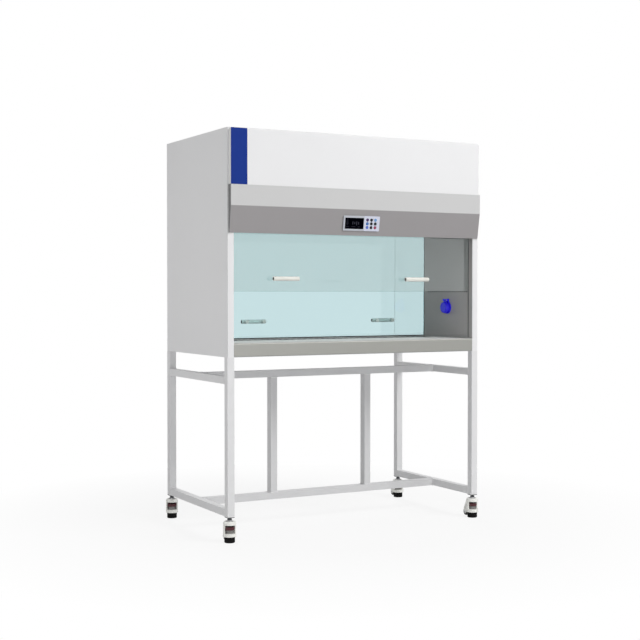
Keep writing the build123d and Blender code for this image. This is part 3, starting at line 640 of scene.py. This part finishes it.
WINDOW_SHEET = 0.0012
MARK_PROUD = 0.0001
MARKS = (                                             # across, up, length, height in mm
    (-36, 14, 7, 1.6), (-36, 9, 10, 1.6), (-36, 4, 8, 1.6), (-36, -1, 11, 1.6),
    (-36, -6, 7, 1.6), (-8, 2, 4, 14), (2, 2, 4, 10), (12, 0, 4, 18), (22, 1, 4, 12),
    (-34, -15, 16, 1.6), (-4, -15, 20, 1.6), (24, -15, 12, 1.6),
)
marks = bmesh.new()
for across, up, length, height in MARKS:
    centre = Vector((across, up, 0)) / 1000
    reach = Vector((length / 2000, height / 2000, MARK_PROUD))
    block(marks, centre - reach, centre + reach, rounding=MARK_PROUD / 2)
on_slope(marks, middle_of("display_window") + face_normal * WINDOW_SHEET / 2)
marks_grey = moulded("display_marks_grey", srgb(58, 58, 70), 0.4, texture=0.0, shine=0.1)
place_piece("display_marks", marks, marks_grey, "cabinet")

KEY_RING = ((0.0076, 0.0), (0.0078, 0.0004), (0.0090, 0.0004), (0.0094, 0.0))
PANEL_HALF_DEPTH = 0.003
panel_centre = middle_of("control_panel")
rings = bmesh.new()
for number in range(1, len(KEY_COLOURS) + 1):
    offset = middle_of(f"key_{number}") - panel_centre
    turned(rings, KEY_RING, Vector((offset.x, offset.dot(face_up), 0)), Z, steps=32)
on_slope(rings, panel_centre + face_normal * PANEL_HALF_DEPTH)
ring_pale = moulded("key_ring_pale", srgb(226, 232, 246), 0.35)
place_piece("key_rings", rings, ring_pale, "cabinet")

# ---------------------------------------------------------------- caps and collars of the lamps
CAP_LENGTH = 0.014
CAP_WRAP = 0.0008                                     # how far a cap stands off its lamp
lamp_low, lamp_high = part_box("led_lamp")
caps = bmesh.new()
for end in (-1, 1):
    ends = sorted((end * lamp_high.x, end * (lamp_high.x - CAP_LENGTH)))
    block(
        caps,
        Vector((ends[0] - CAP_WRAP, lamp_low.y, lamp_low.z - CAP_WRAP)),
        Vector((ends[1] + CAP_WRAP, lamp_high.y + CAP_WRAP, lamp_high.z + CAP_WRAP)),
        rounding=0.0012,
    )
place_piece("lamp_caps", caps, motor_black, "cabinet")

UV_RADIUS = 0.007
UV_HOLDER = 0.020
UV_COLLAR = (
    (UV_RADIUS, 0.0), (0.0078, 0.0006), (0.0078, 0.012), (0.0074, 0.0135), (UV_RADIUS, 0.014),
)
uv_low, uv_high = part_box("uv_lamp")
uv_axis = Vector((0, (uv_low.y + uv_high.y) / 2, uv_low.z + UV_RADIUS))
collars = bmesh.new()
for end in (-1, 1):
    spot = uv_axis + X * end * (uv_high.x - UV_HOLDER)
    turned(collars, UV_COLLAR, spot, -X * end, steps=32)
place_piece("uv_collars", collars, zinc, "cabinet")

# ---------------------------------------------------------------- contacts in the outlet's well
SOCKET_FLANGE = 0.031
WELL_FLOOR = 0.002
CONTACT_REACH = 0.0095
SPRING_REACH = 0.0189
SLEEVE = (
    (0.0015, -0.012), (0.0015, -0.0036), (0.0017, -0.0030), (0.0023, -0.0030), (0.0024, -0.012),
)
SPRING_DEEP, SPRING_SHALLOW = Vector((0.011, 0.002, 0.0006)), Vector((-0.0015, 0.002, 0.0006))
socket_low, socket_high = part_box("socket_base")
socket_at = Vector((OPENING, (socket_low.y + socket_high.y) / 2, socket_low.z + SOCKET_FLANGE))
contacts = bmesh.new()
for side in (-1, 1):
    spot = socket_at - X * WELL_FLOOR + Y * side * CONTACT_REACH
    turned(contacts, SLEEVE, spot, -X, steps=20)
    spring = socket_at + Z * side * SPRING_REACH
    block(contacts, spring - SPRING_DEEP, spring + SPRING_SHALLOW, rounding=0.0003)
place_piece("socket_contacts", contacts, zinc, "cabinet")

# ---------------------------------------------------------------- rivets of the wheels' axles
AXLE_OUT = 0.0139
RIVET = (
    (0.0, 0.0), (0.0060, 0.0), (0.0060, 0.0008), (0.0050, 0.0017), (0.0030, 0.0023), (0.0, 0.0025),
)
for corner in CORNERS:
    wheel = middle_of(f"wheel_{corner}")
    foot = middle_of(f"foot_{corner}")
    ahead = Vector((wheel.x - foot.x, wheel.y - foot.y, 0)).normalized()
    rivets = bmesh.new()
    for side in (-1, 1):
        aside = Vector((ahead.y, -ahead.x, 0)) * side
        turned(rivets, RIVET, wheel + aside * AXLE_OUT, aside)
    place_piece(f"axle_heads_{corner}", rivets, zinc, f"swivel_{corner}")

# ---------------------------------------------------------------- camera
CAMERA_PLACE = Vector((-2.8076, FRONT - 4.8193, 1.0713))
CAMERA_YAW = 28.4
CAMERA_PITCH = -1.26
FOCAL_PIXELS = 1236.8
PHOTO_PIXELS = 640
SENSOR = 36.0
camera_data = bpy.data.cameras.new("camera")
camera_data.sensor_width = SENSOR
camera_data.lens = FOCAL_PIXELS / PHOTO_PIXELS * SENSOR
camera = bpy.data.objects.new("camera", camera_data)
camera.location = CAMERA_PLACE
camera.rotation_euler = (radians(90 + CAMERA_PITCH), 0, radians(-CAMERA_YAW))
scene.collection.objects.link(camera)
bpy.context.scene.camera = camera

# ---------------------------------------------------------------- floor
# The camera sees plain white far out, and some of the lit floor near the hood.
FLOOR_HALF = 7.0
FLOOR_DROP = 0.0005
FLOOR_TONE = 0.86
WHITE_NEAR, WHITE_FAR = 0.86, 1.0                     # share of plain white
FADE_START, FADE_END = 0.8, 1.9                       # distance from the middle
floor_mesh = bpy.data.meshes.new("floor")
floor_corners = [(x * FLOOR_HALF, y * FLOOR_HALF, 0) for x, y in SQUARE]
floor_mesh.from_pydata(floor_corners, [], [(0, 1, 2, 3)])
floor = bpy.data.objects.new("floor", floor_mesh)
floor.location.z = -FLOOR_DROP
scene.collection.objects.link(floor)
ground = Finish("floor_white", 0.9)
ground.shader.inputs["Base Color"].default_value = (FLOOR_TONE, FLOOR_TONE, FLOOR_TONE, 1.0)
white = ground.add("ShaderNodeEmission")
white.inputs["Strength"].default_value = 1.0
distance = ground.add("ShaderNodeVectorMath", operation="LENGTH")
ground.link(ground.place, distance.inputs[0])
fade = ground.spread(distance.outputs["Value"], WHITE_NEAR, WHITE_FAR, FADE_START, FADE_END)
rays = ground.add("ShaderNodeLightPath").outputs
seen = ground.math("MAXIMUM", rays["Is Camera Ray"], rays["Is Transmission Ray"])
ground.layer(ground.math("MULTIPLY", seen, fade), white.outputs["Emission"])
floor_mesh.materials.append(ground.material)

# ---------------------------------------------------------------- world
# White where it is seen, directly or in metal and glass, and dimmer as light on the hood.
AMBIENT = 0.23
world = bpy.data.worlds.new("studio")
scene.world = world
world.use_nodes = True
sky = world.node_tree
background = sky.nodes["Background"]
background.inputs["Color"].default_value = (1, 1, 1, 1)
sky_rays = sky.nodes.new("ShaderNodeLightPath").outputs
seen = sky_rays["Is Camera Ray"]
for kind in ("Is Glossy Ray", "Is Transmission Ray"):
    either = sky.nodes.new("ShaderNodeMath")
    either.operation = "MAXIMUM"
    sky.links.new(seen, either.inputs[0])
    sky.links.new(sky_rays[kind], either.inputs[1])
    seen = either.outputs[0]
level = sky.nodes.new("ShaderNodeMapRange")
level.inputs["To Min"].default_value = AMBIENT
level.inputs["To Max"].default_value = 1.0
sky.links.new(seen, level.inputs["Value"])
sky.links.new(level.outputs["Result"], background.inputs["Strength"])


# ---------------------------------------------------------------- lamps
def lamp(name, place, target, size, power, glints=True):
    """Soft rectangular lamp, unseen itself; without glints it is in no reflection either."""
    data = bpy.data.lights.new(name, "AREA")
    data.shape = "RECTANGLE"
    data.size, data.size_y = size
    data.energy = power
    light = bpy.data.objects.new(name, data)
    light.location = place
    toward = Vector(target) - Vector(place)
    light.rotation_euler = toward.to_track_quat("-Z", "Y").to_euler()
    light.visible_camera = False
    light.visible_transmission = False
    light.visible_glossy = glints
    scene.collection.objects.link(light)


lamp("key", (2.4, -4.3, 5.1), (0, -0.2, 1.0), size=(2.6, 2.6), power=212)
lamp("front_fill", (-0.2, -5.0, 0.95), (0, 0, 0.95), size=(2.4, 1.6), power=34)
lamp("back_fill", (1.4, 4.4, 2.6), (0, 0.2, 1.0), size=(2.6, 2.6), power=50, glints=False)
lamp("side_fill", (-2.3, -0.1, 1.35), (0, -0.1, 1.35), size=(3.2, 2.6), power=13.5)

scene.view_settings.view_transform = "Standard"
